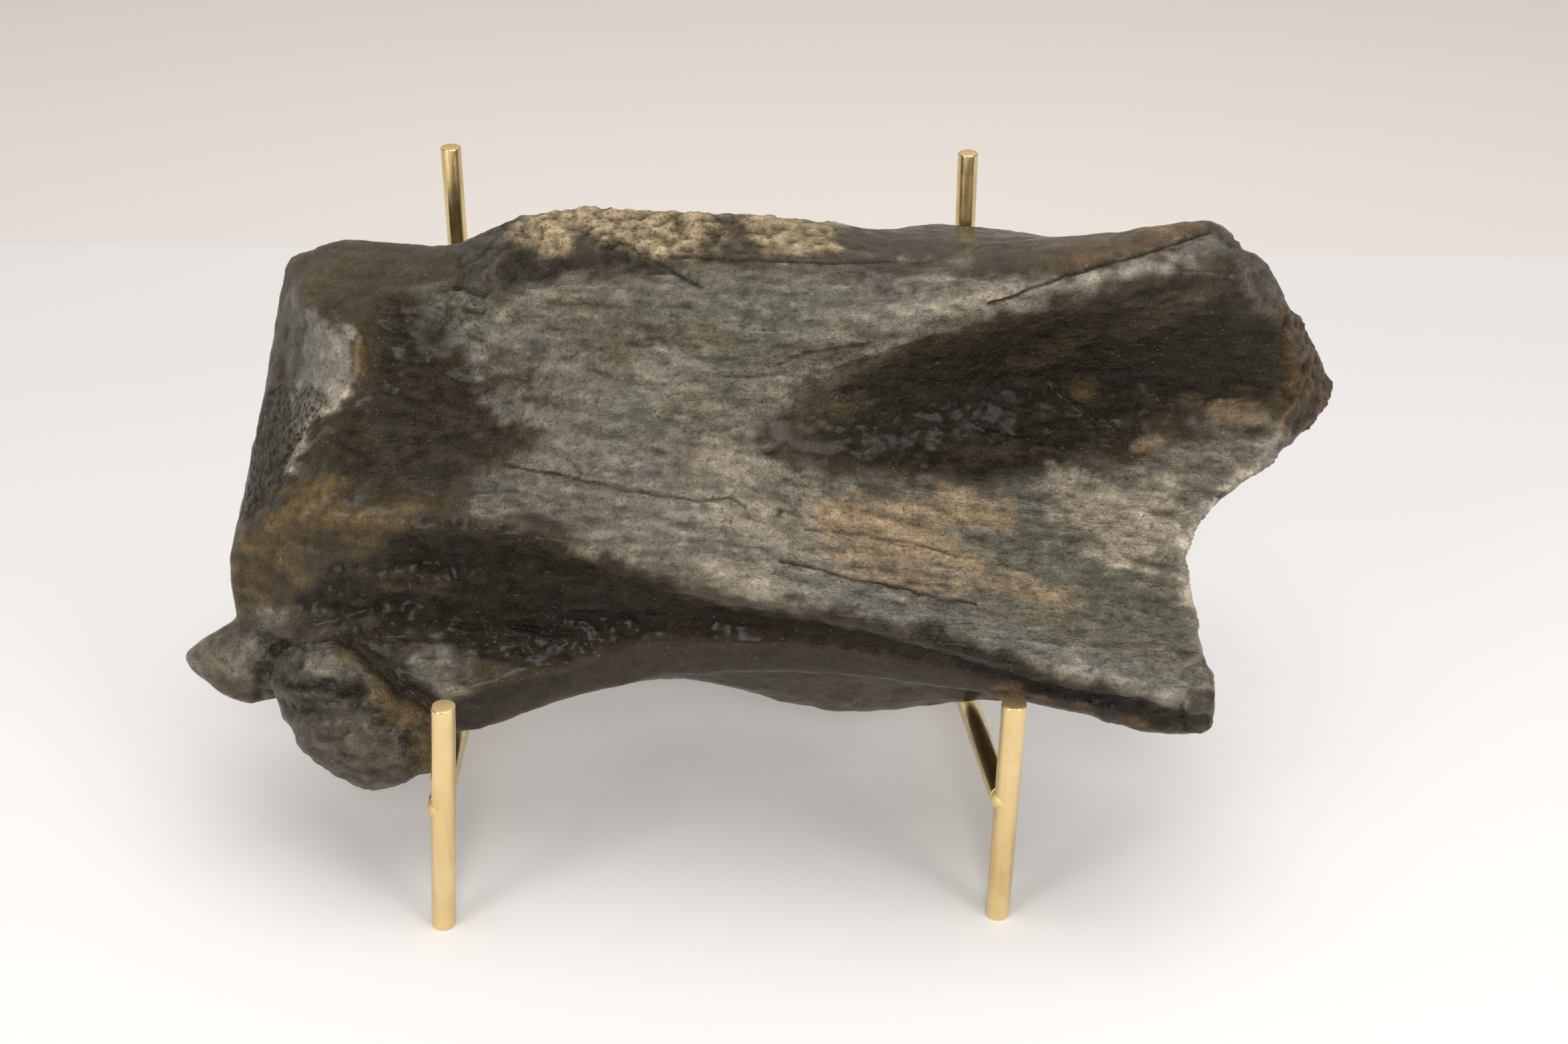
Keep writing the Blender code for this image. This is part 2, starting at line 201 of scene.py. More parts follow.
# Outlines of the markings as seen from the front, mm along and up the face
markings = {
    "borderOlive": [(4, 79), (14, 77), (28, 78), (47, 78), (70, 78), (99, 79), (113, 79), (116, 68), (98, 63),
        (84, 59), (70, 56), (57, 56), (42, 57), (23, 58), (4, 60)],
    "borderRed": [(70, 66), (80, 76), (101, 78), (118, 77), (115, 68), (100, 64), (85, 59), (75, 57)],
    "plate": [(-85, 40), (-79, 48), (-67, 53), (-50, 54), (-30, 58), (4, 59), (43, 56), (58, 55), (74, 55),
        (58, 48), (41, 42), (23, 35), (9, 27), (0, 21), (-5, 14), (2, 5), (22, 1), (48, -2), (68, 2), (82, 6),
        (98, 6), (116, 14), (128, 14), (135, 6), (125, 0), (114, -7), (109, -15), (108, -25), (109, -33),
        (113, -43), (114, -56), (109, -58), (89, -54), (68, -48), (46, -44), (22, -36), (2, -32), (-14, -31),
        (-30, -23), (-41, -20), (-54, -18), (-67, -10), (-83, -10), (-86, -2), (-74, 6), (-66, 13), (-72, 19),
        (-81, 30)],
    "topBlock": [(-140, 74), (-121, 78), (-96, 76), (-85, 66), (-89, 53), (-103, 51), (-117, 51), (-129, 48),
        (-134, 53)],
    "saddleGrey": [(-101, 53), (-87, 54), (-78, 49), (-82, 40), (-87, 37), (-92, 42)],
    "facetSide": [(-134, 51), (-128, 47), (-128, 30), (-132, 20), (-137, 22), (-136, 40)],
    "facet": [(-128, 48), (-114, 40), (-115, 30), (-118, 21), (-126, 17), (-129, 10), (-133, 18), (-130, 30),
        (-129, 40)],
    "pitted": [(-137, 25), (-125, 25), (-122, 20), (-129, 12), (-130, 3), (-135, -6), (-147, -12), (-147, -3),
        (-142, 8), (-139, 20)],
    "hollowLeft": [(-109, 53), (-98, 49), (-87, 38), (-82, 29), (-72, 18), (-67, 12), (-76, 7), (-86, -2),
        (-99, -6), (-112, -3), (-120, 0), (-122, 12), (-116, 20), (-108, 21), (-108, 35), (-110, 44)],
    "hollowRight": [(125, 54), (121, 57), (109, 57), (89, 52), (75, 47), (61, 44), (49, 41), (41, 38),
        (26, 32), (16, 27), (8, 20), (4, 14), (10, 10), (22, 5), (40, 2), (57, 1), (70, 2), (79, 6), (88, 10),
        (94, 10), (100, 19), (117, 22), (131, 23), (136, 31), (136, 44), (127, 47)],
    "hollowDeep": [(118, 55), (93, 51), (68, 42), (40, 30), (22, 19), (27, 8), (54, 5), (75, 10), (96, 21),
        (120, 26), (130, 33), (129, 46)],
    "crestTan": [(-74, 67), (-64, 78), (-43, 83), (-28, 83), (-4, 80), (-7, 67), (-24, 62), (-32, 61),
        (-40, 64), (-49, 66), (-57, 65), (-65, 62)],
    "crestLeft": [(-85, 51), (-89, 60), (-84, 72), (-70, 78), (-57, 76), (-62, 62), (-71, 63), (-77, 58),
        (-79, 51)],
    "crestGap": [(-20, 78), (-9, 78), (-7, 60), (-24, 59)],
    "crestRight": [(-14, 79), (6, 79), (18, 74), (12, 63), (1, 60), (-9, 64)],
    "archShade": [(-77, 58), (-72, 63), (-60, 61), (-49, 62), (-47, 65), (-40, 64), (-29, 58), (-24, 54),
        (-31, 56), (-40, 58), (-43, 60), (-49, 59), (-60, 56), (-68, 54), (-74, 53)],
    "ochreRidge": [(-147, -22), (-146, -16), (-141, -10), (-133, -3), (-124, 0), (-115, -2), (-110, -6),
        (-99, -9), (-99, -13), (-108, -15), (-122, -16), (-130, -22), (-132, -30), (-144, -32)],
    # The band under the lower ridge faces down; its dark coats below are painted shade
    "shadedBand": [(-130, -32), (-120, -22), (-109, -18), (-97, -11), (-83, -11), (-65, -11), (-54, -19),
        (-41, -21), (-30, -24), (-22, -31), (-14, -32), (1, -33), (14, -35), (22, -36), (34, -38), (46, -41),
        (59, -45), (74, -50.5), (89, -54.5), (108, -60), (106, -65), (89, -62), (74, -59), (64, -56),
        (53, -50), (39, -45), (27, -42), (14, -41), (-7, -40), (-30, -40), (-46, -44), (-58, -48), (-71, -52),
        (-75, -47), (-85, -44), (-109, -41), (-125, -37)],
    "bandDeepShade": [(-102, -22), (-84, -17), (-67, -18), (-53, -26), (-38, -31), (-31, -36), (-49, -40),
        (-67, -42), (-84, -36), (-100, -33)],
    "bandDeepShadeRight": [(36, -39.5), (59, -46), (82, -53.5), (107, -60), (107, -64), (82, -60.5), (62, -56),
        (44, -48)],
    "lipRedDark": [(-31, -32), (-14, -33), (14, -36), (32, -42), (27, -44), (4, -41), (-22, -40), (-31, -37)],
    # Painted highlight: the pale strip along the top of the lower ridge
    "ridgeHighlight": [(2, -25), (15, -26), (25, -28), (34, -31), (46, -34), (59, -38), (72, -42), (89, -46),
        (106, -52), (110, -56), (97, -55), (80, -51), (63, -45), (46, -40), (34, -38), (22, -35), (12, -33),
        (2, -32)],
    "tanMain": [(10, -5), (21, -4), (34, -5), (46, -3), (58, -5), (61, -11), (57, -14), (48, -12), (42, -12),
        (51, -20), (59, -24), (72, -29), (77, -31), (72, -33), (59, -31), (46, -30), (34, -28), (23, -24),
        (15, -19), (10, -13)],
    "pinkPale": [(-21, -6), (-2, -3), (11, -6), (22, -13), (23, -22), (8, -21), (-3, -18), (-17, -15)],
    "plateGreen": [(-39, 51), (-17, 53), (0, 53), (15, 49), (11, 40), (-10, 30), (-21, 19), (-39, 12),
        (-49, 15), (-44, 30)],
    "plateBrown": [(-57, 51), (-32, 46), (-17, 39), (-39, 33), (-53, 37), (-64, 40)],
    "mottledDark": [(46, -14), (61, -10), (67, -7), (79, -10), (84, -18), (94, -24), (106, -29), (109, -36),
        (112, -46), (96, -41), (80, -38), (63, -36), (48, -32), (63, -34), (76, -34), (79, -29), (63, -24),
        (51, -19)],
    "paleRight": [(72, -1), (78, 2), (90, 1), (102, 1), (104, -5), (102, -17), (98, -23), (92, -23),
        (83, -18), (81, -12), (73, -6)],
    "lipBrown": [(-71, -52), (-58, -48), (-46, -44), (-30, -40), (-7, -40), (14, -41), (27, -43), (39, -46),
        (53, -51), (67, -57), (85, -64), (74, -64), (53, -57), (22, -52), (-14, -51), (-31, -51), (-49, -54),
        (-61, -57), (-74, -63), (-83, -68), (-86, -59)],
    "lipRough": [(56, -53), (68, -58), (84, -61.5), (105, -65.5), (105, -70), (85, -68), (67, -63),
        (52, -58)],
    "cornerBlock": [(106, -57), (114, -56), (115, -67), (106, -67)],
    "spurNeck": [(-146, -36), (-136, -32), (-132, -42), (-135, -46), (-139, -50), (-142, -59), (-156, -51),
        (-159, -46), (-155, -42)],
    "spurStreak": [(-156, -48), (-150, -49), (-146, -51), (-151, -52)],
    "spurDark": [(-155, -52), (-146, -52), (-139, -52), (-138, -58), (-148, -57)],
    "aboveKnob": [(-137, -41), (-130, -38), (-118, -34), (-109, -32), (-106, -36), (-116, -39), (-125, -40),
        (-134, -44)],
    "knobBody": [(-137, -46), (-130, -42), (-120, -42), (-109, -50), (-95, -59), (-92, -70), (-100, -80),
        (-110, -82), (-121, -78), (-128, -70), (-137, -59), (-141, -56)],
    "knobCap": [(-126, -43), (-119, -43), (-115, -47), (-114, -51), (-120, -52), (-126, -51)],
    "knobCapLeft": [(-135, -45), (-129, -44), (-128, -49), (-134, -50)],
    "knobShade": [(-134, -52), (-126, -52), (-114, -52), (-112, -56), (-123, -56), (-132, -54)],
    "knobOchre": [(-120, -42), (-117, -42), (-112, -47), (-106, -53), (-95, -59), (-93, -65), (-102, -64),
        (-109, -59), (-112, -53), (-117, -46)],
    "knobLowOchre": [(-100, -68), (-93, -67), (-93, -75), (-98, -76)],
    "greyPatch": [(-104, -46), (-98, -43), (-90, -44), (-86, -48), (-84, -54), (-91, -58), (-97, -55),
        (-102, -50)],
    # Painted shade along the groove beside the knob
    "saddleDark": [(-113, -42), (-102, -42), (-101, -48), (-94, -55), (-90, -59), (-95, -59), (-104, -54),
        (-110, -48)],
    "fractureGrey": [(116, 70), (125, 65), (133, 56), (136, 47), (130, 45), (123, 52), (121, 57), (117, 64)],
    "fractureRed": [(134, 46), (142, 45), (150, 34), (150, 29), (144, 18), (136, 6), (132, 10), (136, 19),
        (134, 31), (133, 40)],
    "notchEdge": [(128, 5), (117, -3), (111, -11), (110, -20), (110, -29), (111, -35), (106, -32), (106, -22),
        (107, -13), (112, -5), (121, 2)],
    "paleEdgeLeft": [(-85, 39), (-80, 37), (-71, 24), (-63, 14), (-67, 11), (-73, 19), (-82, 30)],
    # Painted sheen: the brighter band below the upper crack
    "bandHighlight": [(22, 44), (40, 49), (58, 48), (74, 55), (85, 58), (100, 62), (113, 66), (118, 64),
        (108, 59), (89, 55), (75, 50), (61, 47), (49, 44), (40, 41), (22, 37)],
    "paleRim": [(-117, 23), (-124, 18), (-128, 12), (-129, 3), (-132, 4), (-131, 13), (-126, 19), (-119, 24)],
    "lipShade": [(-89, -61), (-84, -57), (-76, -52), (-67, -50), (-58, -48), (-56, -52), (-65, -54),
        (-74, -58), (-81, -63), (-86, -66)],
    "rimPatch": [(-129, 6), (-122, 6), (-122, 0), (-128, -1)],
}

# Outlines that the broken ends keep to, as seen from the front, mm
# The last points of each, as many as rimClosing says, close it inside the bone
rimClosing = 3
rims = {
    "right end": [(93.4, 68.5), (106, 70), (112.8, 70.9), (116.7, 69.6), (120.6, 67.1), (125.5, 64.2),
        (127.8, 60.6), (129.9, 58.1), (132.5, 53.4), (134.4, 48.2), (136, 45.8), (138.1, 44.7), (142.2, 44),
        (144.8, 40.1), (147.6, 35), (147.4, 32), (148, 29.5), (147.3, 27.0), (146.6, 23.9), (143.8, 20.3),
        (141.7, 16.8), (140.8, 13.2), (138.4, 10.3), (135.7, 8.2), (129.1, 4.6), (122.9, 1.2), (117.1, -3.2),
        (113.5, -6.4), (110.3, -10.7), (108.8, -14.6), (107.7, -19.9), (107.5, -24.7), (107.9, -29.1),
        (108.8, -33), (110.3, -36.5), (111.9, -40.1), (113.1, -42.9), (113.9, -45.9), (114, -53.8),
        (113.5, -61.7), (112.4, -65), (110.6, -66.1), (107.8, -66.3), (99, -66.3), (92, -65.4), (83.3, -48.5),
        (74.7, -30.9), (75.4, 49.4)],
    "lower left": [(-147.1, -22), (-146.7, -28.2), (-145.2, -33.5), (-145.3, -36.2), (-149.7, -39),
        (-154, -41.5), (-156.5, -43.6), (-158.5, -46.2), (-157.6, -48.5), (-155.5, -50.6), (-152.6, -52.7),
        (-149.4, -55.5), (-145.8, -57.3), (-141.9, -58.4), (-138.4, -58.7), (-136.3, -59.8), (-133.4, -61.7),
        (-130.6, -64), (-129.3, -65.7), (-128.6, -68.2), (-128, -70.3), (-126.6, -72.4), (-123, -75.4),
        (-118.7, -78.3), (-115.2, -80.1), (-111, -81.1), (-108.5, -81.3), (-105, -80.8), (-101.5, -79.7),
        (-98, -78), (-93.6, -74.8), (-93.9, -48.5), (-119.8, -30.9), (-134, -23.8)],
}

# Raised and sunken lines: width, rise and course, mm
folds = {
    "lowerRidge": (2.2, 1.0, [(-120.1, -8.2), (-98.8, -11.7), (-81, -12.6), (-66.9, -14), (-49.1, -20.6),
        (-31.4, -27.3), (-13.7, -31.2), (4, -33.5), (21.6, -37.1), (39.3, -42.3), (56.9, -47.1),
        (74.5, -51.7), (92.1, -55.5), (109.7, -59.1)]),
    "undercut": (2.6, -1.3, [(-102.2, -19.9), (-81, -19.9), (-66.8, -20.8), (-49.1, -26.6), (-31.4, -32.6),
        (-13.7, -35.6), (4, -37.6), (21.6, -41.1), (39.3, -46), (56.9, -51.3), (74.5, -56.1), (92, -60.3),
        (107.9, -63.6)]),
    "ledge": (1.3, 0.9, [(-77.5, -35.1), (-68.5, -34.9), (-61.4, -36.3)]),
    "ledgeShade": (1.2, -0.9, [(-85.4, -38.3), (-70.2, -38.5), (-57.8, -39.2)]),
    "facetRim": (1.5, 1.0, [(-133.4, -2.5), (-130, 4.6), (-128.1, 10.9), (-124, 17.5), (-117.6, 21.9),
        (-114.7, 29.7), (-113.9, 38.6), (-120.8, 45.8), (-127.7, 49.8)]),
    "crestFoot": (2.2, 1.1, [(-75.7, 45.1), (-68.1, 49.8), (-56.7, 51.9), (-43.3, 51)]),
    "crestFlank": (1.8, 0.9, [(-88.2, 49.1), (-84.1, 52.7), (-79, 57.5), (-74.6, 60.6)]),
    "holeOne": (0.8, -1.4, [(-88.3, 52.8), (-84.5, 51.9), (-80.6, 50.7)]),
    "holeTwo": (0.8, -1.1, [(-85.3, 46.4), (-80.5, 46)]),
    "knobGroove": (1.4, -2.2, [(-135.1, -44.6), (-132, -42.3), (-126.7, -40.9), (-119.6, -40.4),
        (-116.1, -41.5)]),
    "knobSide": (2.6, -1.1, [(-116.1, -41.5), (-111.6, -45.5), (-106.3, -50.6), (-99.7, -55),
        (-92.9, -59.1)]),
    "knobWaist": (3.0, -1.6, [(-137, -60.8), (-129.9, -59.4), (-122.9, -56.4), (-113.2, -55.9)]),
    "knobRidge": (2.2, 1.4, [(-119.1, -42.9), (-113.7, -47.6), (-109.2, -53.8), (-103.5, -58.7),
        (-94.7, -61.9)]),
    "spurGap": (1.7, -1.2, [(-138.6, -50.6), (-139.5, -54.9), (-138.4, -59.4)]),
    "hollowLedge": (1.0, 0.6, [(4.5, 29.7), (20, 34.1), (38.8, 40.4)]),
    "hollowStep": (0.9, -0.6, [(13.4, 24.3), (27.1, 29.7), (43.2, 33.2)]),
    "knobCurl": (1.6, 1.2, [(-134.5, -53), (-129, -56.5), (-121, -56), (-114.5, -52.5)]),
    "knobCurlLow": (2.0, -1.4, [(-131, -62), (-122, -60.5), (-113, -60), (-104, -64)]),
    "neckFold": (2.4, -1.4, [(-137.3, -41.8), (-125, -37.9), (-109.1, -33.5), (-98.5, -30.9)]),
}

# Thin dark cracks: strength and course, mm
cracks = {
    "plate": (0.7, [(-73.2, 4.6), (-62, 2.7), (-49.4, -0.2), (-41.4, -1.8), (-30.4, -3.4), (-22.4, -5),
        (-14.5, -3.7), (-10.5, -6.1)]),
    "low": (0.9, [(-0.8, -20.8), (5.9, -21.7), (14.6, -24.2), (24.8, -26.3), (34.2, -28.6), (42, -30.7),
        (51.3, -31.9)]),
    "faint": (0.4, [(5.9, -12.3), (14.6, -13), (23.1, -13.9), (32.7, -15.6), (41.2, -17.8), (46.3, -19.5)]),
    "top": (0.6, [(-30.8, 61.3), (-16.5, 60.4), (-3.1, 59.9), (12.2, 59.5), (27.2, 60.1), (39.7, 59.7)]),
    "hollow": (0.8, [(70, 28.8), (77.5, 22.1), (84, 15.5), (91.4, 10.9)]),
    "upper": (1.0, [(113.8, 67.8), (106.8, 65.5), (100.5, 63.1), (85.3, 58.8), (74, 55.5), (60.8, 50.1),
        (55, 47.8)]),
    "dent": (0.5, [(-58.1, 6.6), (-56, 4.8), (-54, 2.1)]),
    "crease": (0.6, [(-109, -41.6), (-100.2, -42), (-91.7, -42), (-73.5, -41.5), (-55.4, -39.7)]),
    "corner": (0.6, [(105.5, -57.7), (105.1, -61.7), (106.4, -65.7)]),
    "hollowFleck": (0.5, [(99.2, 24.3), (108.9, 22.5), (119.6, 23.2)]),
    "prong": (0.5, [(75, 8.9), (83.9, 9.6), (92.8, 6.4)]),
    "gapUnderCrest": (0.8, [(-49.1, 63.5), (-44.2, 65.3), (-38.9, 62.4), (-29.9, 57.7), (-23.7, 54.1)]),
    "wrinkleOne": (0.5, [(-1.3, 31.8), (6.7, 35.4), (14.3, 36.3), (23.6, 37.7)]),
    "wrinkleTwo": (0.4, [(-18.8, 28.8), (-10.2, 28.6), (0.4, 29.7)]),
    "wrinkleThree": (0.4, [(-84.7, -2.9), (-74, -2.1), (-65.2, -3.4)]),
}

tones = {
    "umber": (0.041, 0.029, 0.014), "stone": (0.168, 0.150, 0.114), "sage": (0.110, 0.106, 0.074),
    "ash": (0.180, 0.167, 0.134), "pale": (0.430, 0.355, 0.265), "tan": (0.335, 0.240, 0.142),
    "sand": (0.480, 0.362, 0.214), "rust": (0.092, 0.050, 0.022), "ochre": (0.097, 0.063, 0.025),
    "olive": (0.061, 0.046, 0.024), "soot": (0.006, 0.005, 0.003), "moss": (0.016, 0.012, 0.006),
    "brown": (0.020, 0.013, 0.007), "slate": (0.072, 0.063, 0.046), "bark": (0.022, 0.013, 0.006),
}

# Marking, tone, strength, softness of the edge in mm, how broken up it is
coats = [
    ("lipBrown", "brown", 1.0, 1.5, 0.3),
    ("borderOlive", "olive", 1.0, 1.5, 0.2),
    ("borderRed", "rust", 0.8, 4.0, 0.4),
    ("topBlock", "olive", 0.85, 3.0, 0.2),
    # The plate's grey is partly its own colour and partly painted sheen
    ("plate", "stone", 1.0, 4.5, 0.4),
    ("plateGreen", "sage", 0.8, 7.0, 0.4),
    ("plateBrown", "olive", 0.45, 5.0, 0.5),
    ("saddleGrey", "sage", 0.9, 3.0, 0.5),
    ("facetSide", "slate", 0.9, 1.5, 0.4),
    ("pitted", "slate", 0.6, 1.5, 0.4),
    # The facet's light grey is partly its own colour and partly painted sheen
    ("facet", "ash", 0.95, 1.2, 0.35),
    ("paleRim", "pale", 0.95, 1.6, 0.3),
    ("hollowLeft", "moss", 0.58, 6.0, 0.6),
    ("paleEdgeLeft", "ash", 0.6, 3.0, 0.8),
    ("rimPatch", "slate", 0.8, 1.0, 0.2),
    ("hollowRight", "moss", 0.87, 6.5, 0.6),
    ("hollowDeep", "soot", 0.35, 6.0, 0.4),
    # Painted sheen on the band below the upper crack
    ("bandHighlight", "ash", 0.85, 2.0, 0.4),
    ("crestLeft", "slate", 0.9, 2.0, 0.5),
    ("crestTan", "sand", 0.95, 2.2, 0.38),
    ("crestGap", "olive", 0.75, 2.5, 0.7),
    ("crestRight", "sand", 0.75, 2.4, 0.5),
    ("archShade", "moss", 0.72, 3.0, 0.5),
    ("pinkPale", "pale", 0.4, 5.0, 0.5),
    ("tanMain", "tan", 0.97, 3.6, 0.45),
    ("mottledDark", "sage", 0.6, 3.5, 0.8),
    ("paleRight", "pale", 0.75, 4.0, 0.6),
    ("notchEdge", "pale", 0.7, 1.0, 0.3),
    # Painted highlight along the top of the lower ridge
    ("ridgeHighlight", "ash", 1.0, 1.4, 0.3),
    ("ochreRidge", "ochre", 0.75, 3.5, 0.6),
    # Painted shade on the downward-facing band under the lower ridge, deepest at its right end
    ("shadedBand", "moss", 0.95, 2.2, 0.5),
    ("bandDeepShade", "soot", 0.35, 4.0, 0.4),
    ("bandDeepShadeRight", "soot", 0.95, 1.0, 0.2),
    ("lipRedDark", "bark", 0.9, 1.2, 0.2),
    ("lipRough", "rust", 0.9, 1.0, 0.6),
    ("cornerBlock", "moss", 0.8, 0.8, 0.4),
    ("spurNeck", "ash", 0.45, 2.5, 0.5),
    ("spurStreak", "ochre", 0.6, 1.0, 0.4),
    ("spurDark", "umber", 0.9, 1.0, 0.4),
    ("aboveKnob", "slate", 0.6, 2.0, 0.6),
    ("knobBody", "slate", 0.75, 1.5, 0.5),
    # The knob cap's grey is partly its own colour and partly painted sheen
    ("knobCap", "ash", 0.55, 1.5, 0.6),
    ("knobCapLeft", "slate", 0.9, 1.0, 0.4),
    ("knobShade", "moss", 0.8, 1.0, 0.3),
    ("knobOchre", "ochre", 0.8, 1.5, 0.5),
    ("knobLowOchre", "ochre", 0.8, 1.0, 0.4),
    # The grey patch on the bulge is partly its own colour and partly painted sheen
    ("greyPatch", "ash", 0.72, 4.5, 0.5),
    # Painted shade in the groove beside the knob
    ("saddleDark", "moss", 0.8, 1.5, 0.3),
    ("lipShade", "soot", 0.85, 2.0, 0.3),
    ("fractureGrey", "slate", 0.9, 1.0, 0.3),
    ("fractureRed", "rust", 0.7, 1.2, 0.5),
]

# Round stains: centre, half sizes and turn, tone, strength
stains = [
    ((80.0, 26.0), (4.2, 4.2), 0, "ochre", 0.6), ((97.6, 10.8), (5.2, 2.3), 5, "tan", 0.6),
    ((121.0, 19.0), (9.0, 3.6), -4, "tan", 0.4), ((109.0, 22.0), (5.0, 2.5), 0, "olive", 0.8),
    ((-114.0, 33.0), (2.2, 8.5), 6, "ochre", 0.85), ((-23.5, 7.5), (3.4, 1.6), 0, "ochre", 0.5),
    ((-1.6, -7.7), (0.8, 0.8), 0, "soot", 0.9), ((-17.0, 8.5), (9.0, 5.0), -10, "pale", 0.3),
    ((-32.0, -8.0), (14.0, 6.0), -15, "ash", 0.5),
    ((-31.0, 28.0), (15.0, 9.0), -25, "pale", 0.2), ((-12.0, 4.0), (14.0, 7.0), -15, "pale", 0.35),
    ((-10.0, -24.0), (14.0, 5.0), -14, "pale", 0.35), ((38.0, -5.0), (11.0, 3.0), -8, "sand", 0.25),
    ((50.0, 49.0), (16.0, 2.6), 9, "pale", 0.45), ((12.0, 20.0), (13.0, 5.0), 12, "olive", 0.75),
    ((78.0, 66.0), (16.0, 3.0), 2, "tan", 0.2), ((102.0, 68.0), (10.0, 3.0), 0, "tan", 0.2),
    ((44.0, -24.0), (12.0, 3.0), -12, "ash", 0.5), ((40.0, -3.0), (6.0, 3.0), 0, "slate", 0.4),
    ((-57.0, 55.0), (5.0, 2.4), 20, "ash", 0.6), ((132.0, 10.0), (8.0, 4.0), 20, "ash", 0.6),
    ((103.0, 47.0), (18.0, 5.0), 24, "olive", 0.6), ((72.0, 36.0), (16.0, 3.5), 26, "olive", 0.5),
    ((52.0, 10.0), (16.0, 4.0), -8, "olive", 0.5), ((-104.0, 20.0), (6.0, 14.0), 10, "brown", 0.6),
    ((-72.0, 30.0), (12.0, 8.0), -35, "olive", 0.6), ((-100.0, -26.0), (16.0, 5.0), -12, "olive", 0.4),
]

# Extra relief inside a marking: rise, softness of its edge, mm
swells = {
    "facet": (-0.8, 2.0), "archShade": (-1.1, 2.0), "knobCap": (0.7, 1.5), "pitted": (-0.3, 1.5),
    "cornerBlock": (0.5, 0.8), "fractureRed": (-0.3, 1.5), "knobShade": (-0.8, 1.5),
}

# How rough, wrinkled, pitted or glossy a marking is
textures = {
    "rough": {"crestTan": 1.0, "crestRight": 0.9, "crestGap": 0.6, "crestLeft": 0.6, "archShade": 0.6,
        "shadedBand": 0.6, "knobBody": 0.5, "fractureGrey": 0.6, "fractureRed": 0.9, "ochreRidge": 0.35,
        "spurNeck": 0.3, "lipRough": 0.5, "mottledDark": 0.2, "pitted": 0.3, "cornerBlock": 0.5},
    "wrinkle": {"plate": 0.5, "bandDeepShade": 1.0, "shadedBand": 0.6, "hollowRight": 0.6, "hollowLeft": 0.5,
        "knobBody": 0.5, "saddleGrey": 0.6, "greyPatch": 0.6, "ridgeHighlight": 0.4},
    "pits": {"pitted": 1.0, "crestTan": 0.5, "fractureRed": 0.4},
    "gloss": {"plate": 0.65, "facet": 0.8, "ridgeHighlight": 0.7, "greyPatch": 0.9, "knobCap": 0.8,
        "hollowLeft": 0.3, "lipBrown": 0.6},
}


def boneAxes():
    lean = math.radians(bone["lean"])
    up, out = (0.0, math.cos(lean), math.sin(lean)), (0.0, -math.sin(lean), math.cos(lean))
    return np.array(((1.0, 0.0, 0.0), up, out))


def toBone(points):
    # Metres in the room to millimetres along, up and out of the bone's face
    return (points * 1000 - np.array(bone["centre"])) @ boneAxes().T


def asSeen(points):
    # Where each point shows on the flat of the bone's face, looked at from the front
    eye = toBone(np.array(view["place"]))
    share = eye[2] / (eye[2] - points[:, 2])
    return eye[:2] + (points[:, :2] - eye[:2]) * share[:, None]


def readPoints(mesh):
    points = np.empty(len(mesh.vertices) * 3)
    mesh.vertices.foreach_get("co", points)
    return points.reshape(-1, 3)


def writePoints(mesh, points):
    mesh.vertices.foreach_set("co", points.ravel())
    mesh.update()


def readNormals(mesh):
    normals = np.empty(len(mesh.vertices) * 3)
    mesh.vertex_normals.foreach_get("vector", normals)
    return normals.reshape(-1, 3)


def neighbourMean(mesh):
    # A function that averages a value over each vertex's neighbours
    edges = np.empty(len(mesh.edges) * 2, dtype=np.int64)
    mesh.edges.foreach_get("vertices", edges)
    edges = edges.reshape(-1, 2)
    ends = np.concatenate((edges[:, 0], edges[:, 1]))
    others = np.concatenate((edges[:, 1], edges[:, 0]))
    total = len(mesh.vertices)
    count = np.maximum(np.bincount(ends, minlength=total), 1)

    def mean(values):
        columns = [np.bincount(ends, weights=column[others], minlength=total) / count for column in values.T]
        return np.stack(columns, axis=1)
    return mean


def evenOut(mesh, points, rounds, pull=0.6, push=-0.62):
    # Evens out the facets without shrinking the shape
    mean = neighbourMean(mesh)
    for turn in range(rounds):
        for share in (pull, push):
            points = points + (mean(points) - points) * share
    return points


def smoothStep(low, high, values):
    f = np.clip((values - low) / (high - low), 0.0, 1.0)
    return f * f * (3 - 2 * f)


def lineDistance(places, line, closed=False):
    line = np.array(line, dtype=float)
    ends = np.roll(line, -1, axis=0) if closed else line[1:]
    nearest = np.full(len(places), 1e9)
    for start, end in zip(line, ends):
        span = end - start
        f = np.clip((places - start) @ span / max(span @ span, 1e-9), 0.0, 1.0)
        gap = places - start - f[:, None] * span
        nearest = np.minimum(nearest, gap[:, 0]**2 + gap[:, 1]**2)
    return np.sqrt(nearest)


def insideDepth(places, outline):
    # Distance to the outline, above zero inside it
    line = np.array(outline, dtype=float)
    inside = np.zeros(len(places), dtype=bool)
    x, y = places[:, 0], places[:, 1]
    for start, end in zip(line, np.roll(line, -1, axis=0)):
        if start[1] == end[1]:
            continue
        crosses = (start[1] > y) != (end[1] > y)
        inside ^= crosses & (x < (end[0] - start[0]) * (y - start[1]) / (end[1] - start[1]) + start[0])
    depth = lineDistance(places, outline, closed=True)
    return np.where(inside, depth, -depth)


def noiseField(name, points, turn=0):
    # Noise between about -1 and 1; each turn gives another one of the same kind
    size, seed, octaves = patterns[name]
    seed += turn
    shift = Vector((seed * 17.3, seed * 5.1, seed * 9.7))
    return np.array([noise.fractal(Vector(p) + shift, 1.0, 2.0, octaves) for p in points / size])


def strayed(name, inMm):
    # How far each point strays along and up the face, mm
    return np.stack([noiseField(name, inMm, turn) for turn in range(2)], axis=1) * bone[name]


def setValue(mesh, name, values):
    item = mesh.attributes.new(name, "FLOAT", "POINT")
    item.data.foreach_set("value", values.astype(np.float32))


